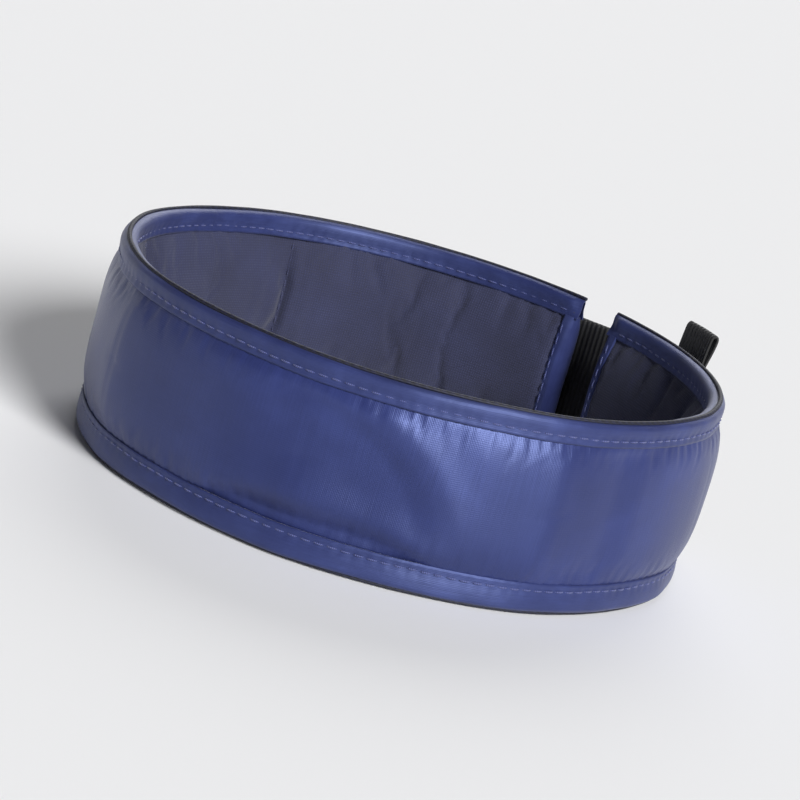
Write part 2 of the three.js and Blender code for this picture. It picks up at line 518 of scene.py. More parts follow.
def link(piece):
    bpy.context.scene.collection.objects.link(piece)
    return piece


def finish_mesh(name, vertices, faces, uvs, normals, material):
    """A mesh object from lists: uvs and normals hold one entry for each face corner."""
    mesh = bpy.data.meshes.new(name)
    mesh.from_pydata(vertices, [], faces)
    layer = mesh.uv_layers.new(name="cloth")
    layer.data.foreach_set("uv", np.asarray(uvs, np.float32).ravel())
    mesh.polygons.foreach_set("use_smooth", [True] * len(faces))
    mesh.materials.append(material)
    if normals is not None:
        mesh.normals_split_custom_set(normals)
    mesh.update()
    return link(bpy.data.objects.new(name, mesh))


def tube(name, points, normals, material, start=0):
    """A closed body: sections, each a closed loop of points, joined one to the next and capped.
    normals are the whole grid's, so that pieces cut from one grid meet without a shading step."""
    columns, rows = points.shape[:2]
    steps = np.linalg.norm(np.diff(points, axis=0), axis=2).mean(axis=1)
    along = start + np.concatenate([[0], np.cumsum(steps)])
    loop = np.linalg.norm(np.roll(points, -1, axis=1) - points, axis=2).mean(axis=0)
    across = np.concatenate([[0], np.cumsum(loop)])
    faces, uvs, corner_normals = [], [], []
    for i in range(columns - 1):
        for j in range(rows):
            k = (j + 1) % rows
            faces.append((i * rows + j, (i + 1) * rows + j, (i + 1) * rows + k, i * rows + k))
            uvs += [(along[i], across[j]), (along[i + 1], across[j])]
            uvs += [(along[i + 1], across[j + 1]), (along[i], across[j + 1])]
            corner_normals += [normals[i, j], normals[i + 1, j], normals[i + 1, k], normals[i, k]]
    for i, order in ((0, range(rows)), (columns - 1, range(rows - 1, -1, -1))):
        inward = points[1] - points[0] if i == 0 else points[-2] - points[-1]
        outwards = -inward.mean(axis=0) / np.linalg.norm(inward.mean(axis=0))
        faces.append(tuple(i * rows + j for j in order))
        uvs += [(along[i], across[j]) for j in order]
        corner_normals += [outwards] * rows
    return finish_mesh(name, points.reshape(-1, 3).tolist(), faces, uvs, np.array(corner_normals), material)


def outward_loop(points):
    """The grid with its sections turned so that faces made by tube() look outwards."""
    centre = points[0].mean(axis=0)
    spokes = points[0] - centre
    turn = np.cross(spokes, np.roll(spokes, -1, axis=0)).sum(axis=0)
    travel = points[1].mean(axis=0) - centre
    return points if turn @ travel < 0 else points[:, ::-1]


def whole_tube(name, points, material):
    points = outward_loop(points)
    return tube(name, points, grid_normals(points), material)


def scatter(name, shape, places, material):
    """One piece holding a shape at each (point, direction along, direction away from the cloth)."""
    points, shape_faces = shape
    vertices, faces, uvs = [], [], []
    for number, (place, along, away) in enumerate(places):
        basis = np.stack([along, np.cross(away, along), away])
        vertices += (np.asarray(place) + points @ basis).tolist()
        first = number * len(points)
        for face in shape_faces:
            faces.append(tuple(first + corner for corner in face))
            uvs += [tuple(points[corner][:2]) for corner in face]
    return finish_mesh(name, vertices, faces, uvs, None, material)


def joined_rings(rings):
    """The points and faces of a small closed shape from a list of rings of points."""
    sides = len(rings[0])
    faces = [
        (i * sides + j, i * sides + (j + 1) % sides, (i + 1) * sides + (j + 1) % sides, (i + 1) * sides + j)
        for i in range(len(rings) - 1)
        for j in range(sides)
    ]
    last = (len(rings) - 1) * sides
    faces.append(tuple(reversed(range(sides))))
    faces.append(tuple(range(last, last + sides)))
    return np.concatenate(rings), faces


def attach(piece, stretch):
    """The piece, which crosses the fold of its stretch, has its placing baked into its mesh."""
    middle = ring_point(stretch["fold"], RING_RADIUS, 0)
    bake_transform(piece)


def band_columns(trim=0):
    """Angles from the left end to the right end, with a column exactly on each cut, and the first
    and last ones trim degrees short of the ends."""
    stops = [LEFT_END + trim, *CUTS[1:-1], RIGHT_END - trim]
    parts = []
    for low, high, whole in zip(stops[:-1], stops[1:], np.diff(CUTS)):
        count = max(2, round(whole / COLUMN_STEP))
        parts.append(np.linspace(low, high, count + 1)[:-1])
    return np.append(np.concatenate(parts), stops[-1])


COLUMNS = band_columns()
CUT_INDEX = [int(np.argmin(np.abs(COLUMNS - cut))) for cut in CUTS]


def band_pieces(kind, points, material, stands_for=()):
    """One closed piece of the band for each stretch, cut from one grid of sections."""
    points = outward_loop(points)
    normals = grid_normals(points)
    for stretch, first, last in zip(STRETCHES, CUT_INDEX[:-1], CUT_INDEX[1:]):
        part = slice(first, last + 1)
        start = arc_of(COLUMNS[first] - LEFT_END)
        piece = tube(f"{kind}_{stretch['name']}_sewn", points[part], normals[part], material, start)
        attach(piece, stretch)
        for node_kind in stands_for:
            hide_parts(*[f"{node_kind}_{place}" for place in stretch["stands_for"]])


def with_thickness(face, towards, thickness):
    """Closed sections from an open grid: the face, then its back, a cloth's thickness away."""
    back = face + towards * thickness
    return np.concatenate([face, back[:, ::-1]], axis=1)


# ---- cloth simulation ----

SIM_SCALE = 10  # the solver is made for things of about a metre
SIM_FRAMES = 20
CLOTH_SETTINGS = {
    "quality": 6,
    "mass": 0.25,
    "tension_stiffness": 18,
    "compression_stiffness": 18,
    "shear_stiffness": 8,
    "bending_stiffness": 0.4,
    "vertex_group_mass": "sewn",
    "pin_stiffness": 1,
    "use_pressure": True,
}


def puff(points, pinned, pressure, slack, cap):
    """The open grid of points blown out along its normals as sewn cloth over a pad, held where
    pinned is true. No point moves further than cap."""
    columns, rows = points.shape[:2]
    start = points.reshape(-1, 3)
    faces = [
        (i * rows + j, (i + 1) * rows + j, (i + 1) * rows + j + 1, i * rows + j + 1)
        for i in range(columns - 1)
        for j in range(rows - 1)
    ]
    mesh = bpy.data.meshes.new("cloth_to_puff")
    mesh.from_pydata((start * SIM_SCALE).tolist(), [], faces)
    sheet = link(bpy.data.objects.new("cloth_to_puff", mesh))
    group = sheet.vertex_groups.new(name="sewn")
    group.add(np.flatnonzero(pinned.ravel()).tolist(), 1.0, "REPLACE")
    cloth = sheet.modifiers.new("cloth", "CLOTH")
    for setting, value in CLOTH_SETTINGS.items():
        setattr(cloth.settings, setting, value)
    cloth.settings.shrink_min = -slack
    cloth.settings.uniform_pressure_force = pressure
    cloth.settings.effector_weights.gravity = 0
    cloth.collision_settings.use_collision = False
    cloth.collision_settings.use_self_collision = False
    cloth.point_cache.frame_start = 1
    cloth.point_cache.frame_end = SIM_FRAMES
    scene = bpy.context.scene
    for number in range(1, SIM_FRAMES + 1):
        scene.frame_set(number)
    evaluated = sheet.evaluated_get(bpy.context.evaluated_depsgraph_get())
    moved = np.zeros(len(start) * 3)
    evaluated.data.vertices.foreach_get("co", moved)
    scene.frame_set(1)
    bpy.data.objects.remove(sheet)
    bpy.data.meshes.remove(mesh)
    travel = moved.reshape(-1, 3) / SIM_SCALE - start
    length = np.linalg.norm(travel, axis=1, keepdims=True)
    travel *= cap * np.tanh(length / cap) / np.maximum(length, TINY)
    travel[pinned.ravel()] = 0
    return (start + travel).reshape(points.shape)


# ---- outer cloth and lining ----


def rows_between(low, high):
    return np.linspace(low, high, max(FEWEST_ROWS, round((high - low) / ROW_STEP)) + 1)


HEIGHTS = rows_between(BOTTOM_SEAM - TUCK, TOP_SEAM + TUCK)
ANGLE_GRID, HEIGHT_GRID = np.meshgrid(band_columns(FACING_TRIM), HEIGHTS, indexing="ij")
ARC_GRID = arc_of(ANGLE_GRID)


def swell(heights, power):
    """0 under the bindings and 1 over the middle of the pads; the higher the power, the boxier."""
    middle = (BOTTOM_SEAM + TOP_SEAM) / 2
    half = (TOP_SEAM - BOTTOM_SEAM) / 2
    across = np.clip(np.abs(heights - middle) / half, 0, 1)
    return 1 - across ** power


FULLNESS = swell(HEIGHT_GRID, 2.5)
LOOSE_SWELL = (0.55, 3)  # share of CLOTH_PINCH that free cloth swells out by, and the swell's power
HELD_SWELL = (0.8, 9)  # the same where a tape holds it flat
SEWN_FADE = 4  # degrees
TAPER_REACH = 5 * MM
OUTER_TAPER = 0.5 * MM  # how far each cloth is drawn in at the band's ends
LINING_TAPER = 1.3 * MM
PINNED_HEIGHT = 0.2 * MM
PINNED_ENDS = 3  # degrees


def flattened(angles):
    """1 where a tape is sewn on and holds the cloth flat, 0 away from it."""
    return np.max([window(angles, low, high, SEWN_FADE) for low, high in SEWN_ZONES], axis=0)


def end_taper(angles):
    """1 at the band's two ends, 0 from a few millimetres inside them."""
    inside = np.minimum(angles - LEFT_END, RIGHT_END - angles)
    return 1 - smooth_step(inside / turn_of(TAPER_REACH))


def outer_face():
    held = flattened(ANGLE_GRID)
    bulge = 0
    for weight, (share, power) in ((1 - held, LOOSE_SWELL), (held, HELD_SWELL)):
        bulge = bulge + weight * share * swell(HEIGHT_GRID, power)
    inset = CLOTH_PINCH * (1 - bulge) + OUTER_TAPER * end_taper(ANGLE_GRID)
    return ring_points(ANGLE_GRID, face_radius(ANGLE_GRID, FULLNESS) - inset, HEIGHT_GRID)


def pinned_edges():
    low, high = BOTTOM_SEAM + PINNED_HEIGHT, TOP_SEAM - PINNED_HEIGHT
    ends = (ANGLE_GRID < LEFT_END + PINNED_ENDS) | (ANGLE_GRID > RIGHT_END - PINNED_ENDS)
    return (HEIGHT_GRID < low) | (HEIGHT_GRID > high) | ends


def radial(points):
    """Unit vectors away from the ring's axis."""
    flat = points - np.array([0, CENTRE_Y, 0])
    flat[..., 2] = 0
    return flat / np.linalg.norm(flat, axis=-1, keepdims=True)


def inside_seams(heights):
    """Distance from the nearer of the two bindings' open edges; 0 under a binding."""
    return np.maximum(np.minimum(heights - BOTTOM_SEAM, TOP_SEAM - heights), 0)


SWEEP_FOLD = {
    "angle": -80.0,  # where it leaves the top binding
    "reach": 39.5,  # degrees that it runs on
    "foot": 9 * MM,  # height of its lower end
    "rise": 30 * MM,  # from there to its upper end
    "depth": 1.9 * MM,
    "drops": (4 * MM, 11 * MM),  # half of the drop is over the first width and half over the second
    "hollow": 9 * MM,  # how far inside the fold's edge it starts to come back up
    "recovery": 20 * MM,  # and the width over which it does
    "ridge": (0.3, 2.2 * MM, 2.6 * MM),  # share of the depth, distance outside the edge, width
    "starts": 0.4,  # share of the reach over which it deepens
    "ends": (0.2, 0.45),  # how far on its deepening is at its foot, and the share of the rise it takes
}
HEM_FOLD = {
    "from": -86.0,
    "to": -41.0,
    "top": 14 * MM,
    "uneven": (9.0, 0.5 * MM),  # scale of the noise along its top in degrees, and its height
    "reach": 6 * MM,  # height over which its underside turns in
    "depth": 1.8 * MM,
    "overhang": (0.2, 4 * MM),  # share of the depth that its top hangs out, and how far that spreads
    "held": (0.6, 2.2 * MM),  # share of the depth that the seam holds back, and up to what height
    "fade": 3.0,  # degrees beyond its two ends
}
CRISP_CORNER = FOLDS[-1] + CELL  # the cloth falls away behind this corner
CRISP_DEPTH = 1.1 * MM
CRISP_REACH = 5 * MM


def sweep_fold(angles, heights):
    """The slack fold at the throat: it leaves the top binding and turns down in a quarter ellipse.
    The cloth drops sharply on its lower left and comes back up slowly."""
    fold = SWEEP_FOLD
    across = np.maximum(angles - fold["angle"], 0) / fold["reach"]
    up = np.maximum(heights - fold["foot"], 0) / fold["rise"]
    inside = (1 - np.hypot(across, up)) * fold["rise"]
    drop = sum(smooth_step(inside / width) / 2 for width in fold["drops"])
    recovery = smooth_step((inside - fold["hollow"]) / fold["recovery"])
    share, outside, width = fold["ridge"]
    ridge = share * crease(inside + outside, width)
    at_foot, deepens = fold["ends"]
    run = smooth_step(across / fold["starts"]) * smooth_step(up / deepens + at_foot)
    return fold["depth"] * run * (drop * (1 - recovery) - ridge)


def hem_fold(angles, heights):
    """The slack of the front pads hangs over the bottom binding; its underside turns in to the seam."""
    fold = HEM_FOLD
    middle = (fold["from"] + fold["to"]) / 2
    across = np.clip(np.abs(angles - middle) / (fold["to"] - middle), 0, 1)
    top = fold["top"] - fold["reach"] * across ** 4
    degrees, wave_height = fold["uneven"]
    top = top + wave_height * smooth_noise(angles / degrees, 0 * angles, 51)
    turned_in = smooth_step((top - heights) / fold["reach"])
    share, spread = fold["overhang"]
    overhang = share * crease(heights - top, spread) * smooth_step(inside_seams(heights) / spread)
    share, up_to = fold["held"]
    held = share * smooth_step(1 - (heights - BOTTOM_SEAM) / up_to)
    run = window(angles, fold["from"], fold["to"], fold["fade"])
    return fold["depth"] * (turned_in * (1 - held) - overhang) * run


GATHERS = (  # the size of the waves, how far they run from a seam, and where they have full depth
    {"size": (2.1 * MM, 30 * MM, 0.24 * MM), "run": 3 * MM, "full": 1.2 * MM},
    {"size": (6 * MM, 18 * MM, 0.26 * MM), "run": 9 * MM, "full": 2.5 * MM},
)
OUTER_CREASE = (0.16 * MM, 0.9 * MM)  # depth and width of the crease at a seam between pads
LINING_CREASE = (1.0 * MM, 1.5 * MM)
OUTER_WAVES = (12 * MM, 24 * MM, 0.35 * MM)
SETTLED = 2.5 * MM  # distance from a binding at which the outer cloth's folds have full depth


def puckers(seed):
    """Short and broad gathers that run into the seams of both bindings."""
    to_seam = inside_seams(HEIGHT_GRID)
    total = 0
    for number, gather in enumerate(GATHERS):
        fade = np.exp(-to_seam / gather["run"]) * smooth_step(to_seam / gather["full"])
        total = total + waves(ARC_GRID, HEIGHT_GRID, gather["size"], seed + number) * fade
    return total


def seam_creases(depth, width):
    """How far a cloth is drawn in at the seams between pads."""
    lines = sum(crease(arc_of(ANGLE_GRID - corner), width) for corner in CORNERS[1:-1])
    return depth * lines * swell(HEIGHT_GRID, 4)


def outer_folds():
    """How far the finished outer cloth lies inside its plump shape."""
    beyond = arc_of(ANGLE_GRID - CRISP_CORNER)
    fall = 1 - np.exp(-np.maximum(beyond, 0) / CRISP_REACH)
    fall = fall * window(beyond, 0, 3 * CRISP_REACH, 2 * CRISP_REACH)
    crisp = CRISP_DEPTH * fall * swell(HEIGHT_GRID, 6)
    broad = waves(ARC_GRID, HEIGHT_GRID, OUTER_WAVES, 61)
    loose = seam_creases(*OUTER_CREASE) + crisp + sweep_fold(ANGLE_GRID, HEIGHT_GRID) + broad
    settle = smooth_step(inside_seams(HEIGHT_GRID) / SETTLED)
    free = 1 - flattened(ANGLE_GRID)
    return free * (settle * loose + hem_fold(ANGLE_GRID, HEIGHT_GRID)) + puckers(71)


def add_outer_cloth():
    face = outer_face()
    pinned = pinned_edges() | (flattened(ANGLE_GRID) > 0.5)
    face = puff(face, pinned, pressure=4.0, slack=0.02, cap=1.4 * MM)
    face = face - radial(face) * outer_folds()[..., None]
    sections = with_thickness(face, -radial(face), CLOTH_THICKNESS)
    band_pieces("outer_cloth", sections, SATIN, ["outer_cloth"])
    return face


WRINKLE_DEPTH = 0.22 * MM
WRINKLE_PITCH = 5 * MM
WRINKLE_REACH = 9 * MM  # to each side of a seam between pads
WRINKLE_SLANT = (12 * MM, 1.5 * MM)  # how soon they wander to one side and back, and how far
LINING_GATHER = 1.3  # depth of the lining's gathers as a share of the outer cloth's


def lining_folds():
    """The lining is drawn in along the seams between pads, and wrinkles where it is pressed short."""
    inward = seam_creases(*LINING_CREASE)
    height, wander = WRINKLE_SLANT
    for number, corner in enumerate(CORNERS[1:-1]):
        distance = arc_of(ANGLE_GRID - corner)
        slant = wander * smooth_noise(HEIGHT_GRID / height, 0 * HEIGHT_GRID, 80 + number)
        near = crease(distance, WRINKLE_REACH) * swell(HEIGHT_GRID, 2)
        inward += WRINKLE_DEPTH * np.sin(2 * math.pi * (distance + slant) / WRINKLE_PITCH) * near
    return inward + LINING_GATHER * puckers(91)


def add_lining():
    swelling = LINING_DEPTH - LINING_PINCH - LINING_TAPER * end_taper(ANGLE_GRID)
    depth = LINING_PINCH + swelling * swell(HEIGHT_GRID, 3)
    face = ring_points(ANGLE_GRID, face_radius(ANGLE_GRID, FULLNESS) - depth, HEIGHT_GRID)
    # rows run the other way, so that the pressure pushes towards the neck
    flipped = face[:, ::-1]
    face = puff(flipped, pinned_edges()[:, ::-1], pressure=2.5, slack=0.03, cap=0.8 * MM)[:, ::-1]
    face = face + radial(face) * lining_folds()[..., None]
    sections = with_thickness(face, radial(face), CLOTH_THICKNESS)
    band_pieces("lining", sections, LINING, ["lining"])
    return face


def radii_of(face):
    """A function giving a finished face's distance from the ring's axis at an angle and height."""
    radii = np.linalg.norm(face[..., :2] - np.array([0, CENTRE_Y]), axis=-1)
    columns = ANGLE_GRID[:, 0]

    def radius_at(angle, height):
        row = np.clip(np.searchsorted(HEIGHTS, height) - 1, 0, len(HEIGHTS) - 2)
        t = np.clip((height - HEIGHTS[row]) / (HEIGHTS[row + 1] - HEIGHTS[row]), 0, 1)
        low = np.interp(angle, columns, radii[:, row])
        high = np.interp(angle, columns, radii[:, row + 1])
        return float(low * (1 - t) + high * t)

    return radius_at


# ---- bindings ----

CROWN_SHARE = 0.75  # height of a binding's rounded edge, as a share of half its thickness
TAPE_LEAF = 0.55 * MM  # thickness of the folded tape itself
CROWN_POWER = 0.8  # below 1, which makes the edge squarer than round
BINDING_FULL = (0.62, 0.3, 0.16 * MM)  # its swell: place and width as shares of the height, and depth
STITCH_GATHER = (1.3 * MM, 0.12 * MM, 0.16 * MM)  # width of the gather, depth between and at stitches
BINDING_WAVES = (9 * MM, 4 * MM, 0.14 * MM)
BINDING_PUCKERS = (2.4 * MM, 6 * MM, 0.07 * MM)
BINDING_SAG = (16 * MM, 1 * MM, 0.25 * MM)  # it varies along the binding only
PRESSED_LENGTH = 3 * MM  # at the nape, where a binding's end is pressed shut
PRESSED_SHARE = 0.7
PRESSED_FROM = 0.6  # share of the height from which it is pressed fully
TOP_FOLD = BAND_TOP - SHADE_CORD_RADIUS  # the bindings' folded edges, under and over the dark cords of painted shade
BOTTOM_FOLD = SHADE_CORD_RADIUS


def stitch_height(height):
    """Height of the stitching above a binding's open edge."""
    return min(1.5 * MM, 0.3 * height)


def binding_section(height):
    """A folded tape's section: distances out from its middle, and up from its open edge."""
    half = BINDING_THICKNESS / 2
    crown = CROWN_SHARE * half
    bend = np.linspace(0, math.pi, 13)
    side = np.linspace(0, height - crown, 9)[:-1]
    straight = np.full(len(side), half)
    out = np.concatenate([straight, half * squared(np.cos(bend), CROWN_POWER), -straight])
    up = np.concatenate([side, height - crown + crown * np.sin(bend), side[::-1]])
    back_out = np.clip(out, TAPE_LEAF - half, half - TAPE_LEAF)[::-1]
    back_up = np.minimum(up, height - TAPE_LEAF)[::-1]
    return np.concatenate([out, back_out]), np.concatenate([up, back_up])


def binding_grid(edge, seam, seed):
    """A folded tape over the band's edge: out at the seam, round the edge and back on the neck
    side. Its thickness swells between the stitching and the edge, and it gathers at each stitch."""
    rise = 1 if edge > seam else -1
    height = abs(edge - seam)
    section_out, section_up = binding_section(height)
    arcs = arc_of(COLUMNS)
    arc, up = np.meshgrid(arcs, section_up, indexing="ij")
    _, out = np.meshgrid(arcs, section_out, indexing="ij")
    place, width, depth = BINDING_FULL
    full = depth * crease(up - place * height, width * height)
    width, between, extra = STITCH_GATHER
    dimple = 0.5 + 0.5 * np.cos(2 * math.pi * arc / STITCH_PITCH)
    gather = (between + extra * dimple) * crease(up - stitch_height(height), width)
    puckered = waves(arc, up, BINDING_PUCKERS, seed + 1)
    out = out + np.sign(out) * (full - gather + puckered) + waves(arc, up, BINDING_WAVES, seed)
    ends = 1 - smooth_step(np.minimum(arc - arcs[0], arcs[-1] - arc) / PRESSED_LENGTH)
    out *= 1 - PRESSED_SHARE * ends * smooth_step(up / (PRESSED_FROM * height))
    angles = turn_of(arc)
    radii = face_radius(angles, 0) - BINDING_FACE - BINDING_THICKNESS / 2 + out
    sag = waves(arc, 0 * arc, BINDING_SAG, seed + 2) * np.clip(up / height, 0, 1)
    return ring_points(angles, radii, seam + rise * (up + np.minimum(sag, 0)))


def add_bindings():
    top = binding_grid(TOP_FOLD, TOP_SEAM, 11)
    bottom = binding_grid(BOTTOM_FOLD, BOTTOM_SEAM, 23)
    band_pieces("top_binding", top, BINDING, ["top_binding"])
    band_pieces("bottom_binding", bottom, BINDING, ["bottom_binding"])


def shade_cord(height, seed):
    """Sections of the thin dark cord sewn along a folded edge, a little wider than it is high. Its
    near-black colour is painted shade of that edge.
    """
    turns = np.linspace(0, 2 * math.pi, 10, endpoint=False)
    angles, turn = np.meshgrid(COLUMNS, turns, indexing="ij")
    size = SHADE_CORD_RADIUS * (1 + 0.06 * smooth_noise(arc_of(angles) / (3 * MM), 0 * angles, seed))
    middle = face_radius(angles, 0) - BINDING_FACE - BINDING_THICKNESS / 2 + 0.4 * MM
    return ring_points(angles, middle + 1.25 * size * np.cos(turn), height + size * np.sin(turn))


# the two dark cords stand in for the shade along the folded top and bottom edges: painted shade
def add_shade_cords():
    band_pieces("top_edge_shade_cord", shade_cord(BAND_TOP - 0.9 * SHADE_CORD_RADIUS, 41), SHADE_CORD)
    band_pieces("bottom_edge_shade_cord", shade_cord(1.06 * SHADE_CORD_RADIUS, 43), SHADE_CORD)


# ---- stitches ----

STITCH_RINGS = 7
STITCH_SIDES = 6
STITCH_SINK = 0.1 * MM  # of the bindings' stitches into the tape


def stitch_shape():
    """One stitch lying along X: a short plump thread whose two ends dive into the cloth."""
    rings = []
    turns = np.arange(STITCH_SIDES) * 2 * math.pi / STITCH_SIDES
    for t in np.linspace(0, 1, STITCH_RINGS):
        plump = math.sin(math.pi * t)
        half = 0.5 * STITCH_WIDTH * (0.35 + 0.65 * plump ** 0.5)
        lift = STITCH_WIDTH * (0.5 * plump - 0.3)
        x = np.full(STITCH_SIDES, (t - 0.5) * STITCH_LENGTH)
        rings.append(np.stack([x, half * np.cos(turns), lift + half * np.sin(turns)], axis=1))
    return joined_rings(rings)


STITCH = stitch_shape()


def sew(name, places, thread):
    piece = scatter(name, STITCH, places, thread)
    return piece


def binding_stitches(kind, edge, seam, outside, seed):
    rise = 1 if edge > seam else -1
    height = seam + rise * stitch_height(abs(edge - seam))
    side = 1 if outside else -1
    half = BINDING_THICKNESS / 2
    inset = BINDING_FACE + half - side * (half - STITCH_SINK)
    step = turn_of(STITCH_PITCH)
    numbers = range(math.floor(LEFT_END / step) + 1, math.ceil(RIGHT_END / step))
    for stretch, low, high in zip(STRETCHES, CUTS[:-1], CUTS[1:]):
        last = min(high + 0.6 * step, RIGHT_END - step)
        places = []
        for angle in [(number + 0.5) * step for number in numbers]:
            if low + 0.6 * step < angle <= last:
                wander = 0.12 * MM * float(smooth_noise(angle / 3.0, 0.0, seed))
                point = ring_point(angle, face_radius(angle, 0) - inset, height + wander)
                places.append((point, onward(angle), side * outward(angle)))
        attach(sew(f"{kind}_{stretch['name']}", places, BLUE_THREAD), stretch)


def add_binding_stitches():
    for outside, face in ((True, "outside"), (False, "neck_side")):
        binding_stitches(f"top_stitching_{face}", TOP_FOLD, TOP_SEAM, outside, 31)
        binding_stitches(f"bottom_stitching_{face}", BOTTOM_FOLD, BOTTOM_SEAM, outside, 37)


def channel_stitches(radius_at):
    """The rows that hold the lining to the outer cloth between the pads."""
    for number, corner in enumerate(CORNERS[1:-1], start=1):
        stretch = next(s for s, high in zip(STRETCHES, CUTS[1:]) if corner < high)
        places = []
        for height in np.arange(BOTTOM_SEAM + 2 * MM, TOP_SEAM - 1.5 * MM, STITCH_PITCH):
            point = ring_point(corner, radius_at(corner, height), height)
            places.append((point, UP, -outward(corner)))
        attach(sew(f"channel_stitching_{number}", places, NAVY_THREAD), stretch)


# ---- end facings ----

FACING_REACH = 3.4 * MM  # how far a facing is turned over the faces beside an end
FACING_LEAF = 0.5 * MM
FACING_ROUND = 1.7 * MM
FACING_PROBE = 1.5  # degrees inside an end, where the band's thickness is taken
FACING_HEM = 0.9 * MM  # from a facing's edge to its stitching
FACING_SIDE = 4  # points along the straight stretch beside its bend


def facing_grid(end, inwards, outer_at, neck_at):
    """Level sections, one above another, of the strip of satin folded over one end of the band."""
    bend = np.linspace(0, math.pi, 15)
    beside = np.linspace(FACING_REACH, FACING_ROUND, FACING_SIDE + 1)[:-1]
    probe = end + FACING_PROBE * inwards
    sections = []
    for height in rows_between(BOTTOM_SEAM - 0.4 * MM, TOP_SEAM + 0.4 * MM):
        outer_radius, neck_radius = outer_at(probe, height), neck_at(probe, height)
        close = 0.25 * MM + 0.15 * MM * float(smooth_noise(height / (3 * MM), 0.0, 97))
        half = (outer_radius - neck_radius) / 2 + FACING_LEAF + close * float(swell(height, 6))
        loop = []
        for inset in (0, FACING_LEAF):
            straight = np.full(FACING_SIDE, half - inset)
            out = np.concatenate([straight, (half - inset) * np.cos(bend), -straight])
            depth = inset + (FACING_ROUND - inset) * (1 - np.sin(bend))
            rows = np.stack([out, np.concatenate([beside, depth, beside[::-1]])], axis=1)
            loop.append(rows if inset == 0 else rows[::-1])
        out, depth = np.concatenate(loop).T
        middle = (outer_radius + neck_radius) / 2
        sections.append(ring_points(end + inwards * turn_of(depth), middle + out, height))
    return np.array(sections)


def facing_stitches(name, end, inwards, body, outer_at, neck_at):
    places = []
    angle = end + inwards * turn_of(FACING_REACH - FACING_HEM)
    for height in np.arange(BOTTOM_SEAM + 1.5 * MM, TOP_SEAM - 1 * MM, STITCH_PITCH):
        for side, radius_at in ((1, outer_at), (-1, neck_at)):
            radius = radius_at(angle, height) + side * (FACING_LEAF + 0.35 * MM)
            places.append((ring_point(angle, radius, height), UP, side * outward(angle)))
    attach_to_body(sew(name, places, BLUE_THREAD), body)


def add_facings(outer_at, neck_at):
    ends = (("right", RIGHT_END, -1, "band_right"), ("left", LEFT_END, 1, "band_left_end"))
    for side, end, inwards, body in ends:
        grid = facing_grid(end, inwards, outer_at, neck_at)
        piece = whole_tube(f"end_facing_{side}_sewn", grid, BINDING)
        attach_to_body(piece, body)
        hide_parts(f"end_facing_{side}")
        facing_stitches(f"end_facing_{side}_stitching", end, inwards, body, outer_at, neck_at)


# ---- closure: loop field, strap, hook tape and pull tab ----

TAPE_GAP = 0.12 * MM
LOOP_BACKING = 0.35 * MM
LOOP_PILE = 0.85 * MM
LOOP_EDGE = 1.4 * MM  # width over which the pile lies down at the field's edge
LOOP_LAID = 0.8 * LOOP_PILE  # how much lower it is there
LOOP_TUFTS = (0.5 * MM, 0.5 * MM, 0.16 * MM)
LOOP_WAVES = (4 * MM, 4 * MM, 0.08 * MM)
LOOP_HEM = 1.5 * MM  # from the field's edge to its stitching
HOOK_HEIGHT = 0.75 * MM
HOOK_BACKING = 0.5 * MM
HOOK_PITCH = 1.5 * MM
HOOK_INSET = 1.0 * MM  # of the tape inside the strap's tip
HOOK_EDGE = 1.8 * MM  # of bare tape along its long edges
HOOK_HEM = 1.2 * MM  # from its long edges to its stitching
HOOK_MARGIN = 0.8 * MM  # of bare tape between its end and the middle of the nearest row of hooks
STRAP_THICKNESS = 1.5 * MM
STRAP_HEM = 2 * MM  # from the strap's ends to its stitching
TAPE_CORNER = 3 * MM
TAPE_EDGE_POINTS = 3
RIB_PITCH = 1.25 * MM
RIB_DEPTH = 0.07 * MM
SELVEDGE_DEPTH = 0.16 * MM
SELVEDGE_FROM, RIBS_TO, SELVEDGE_TO = 0.86, 0.93, 0.94  # shares of the strap's half height
STRAP_HINGES = {
    "root": (PEEL_ANGLE, ("band_left_end", "strap_lift"), 4 * MM, 9 * MM),
    "tip": (CURL_ANGLE, ("strap_lift", "strap_tip"), 9 * MM, 9 * MM),
}


def attach_strap(piece, part):
    """The part of the strap has its placing baked into its mesh. The root's hinge is where the strap peels
    away from the band's end, and the tip's where it curls. Each hinge has its angle, its bodies, and how
    far before and after it the strap bends."""
    angle, bodies, before, after = STRAP_HINGES[part]
    middle = ring_point(angle, HINGE_RADIUS, 0)
    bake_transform(piece)


def rounded_half(arc, half):
    """A tape's half height along its length: full, but for its rounded corners where arc is 0."""
    into = np.clip(arc, 0, TAPE_CORNER)
    return half - TAPE_CORNER + np.sqrt(np.maximum(TAPE_CORNER ** 2 - (TAPE_CORNER - into) ** 2, 0.0))


def strap_half(angles, half, part):
    """Half heights of a tape of the strap, whose tip has rounded corners."""
    return rounded_half(arc_of(angles - angles[0]), half) if part == "tip" else np.full(len(angles), half)


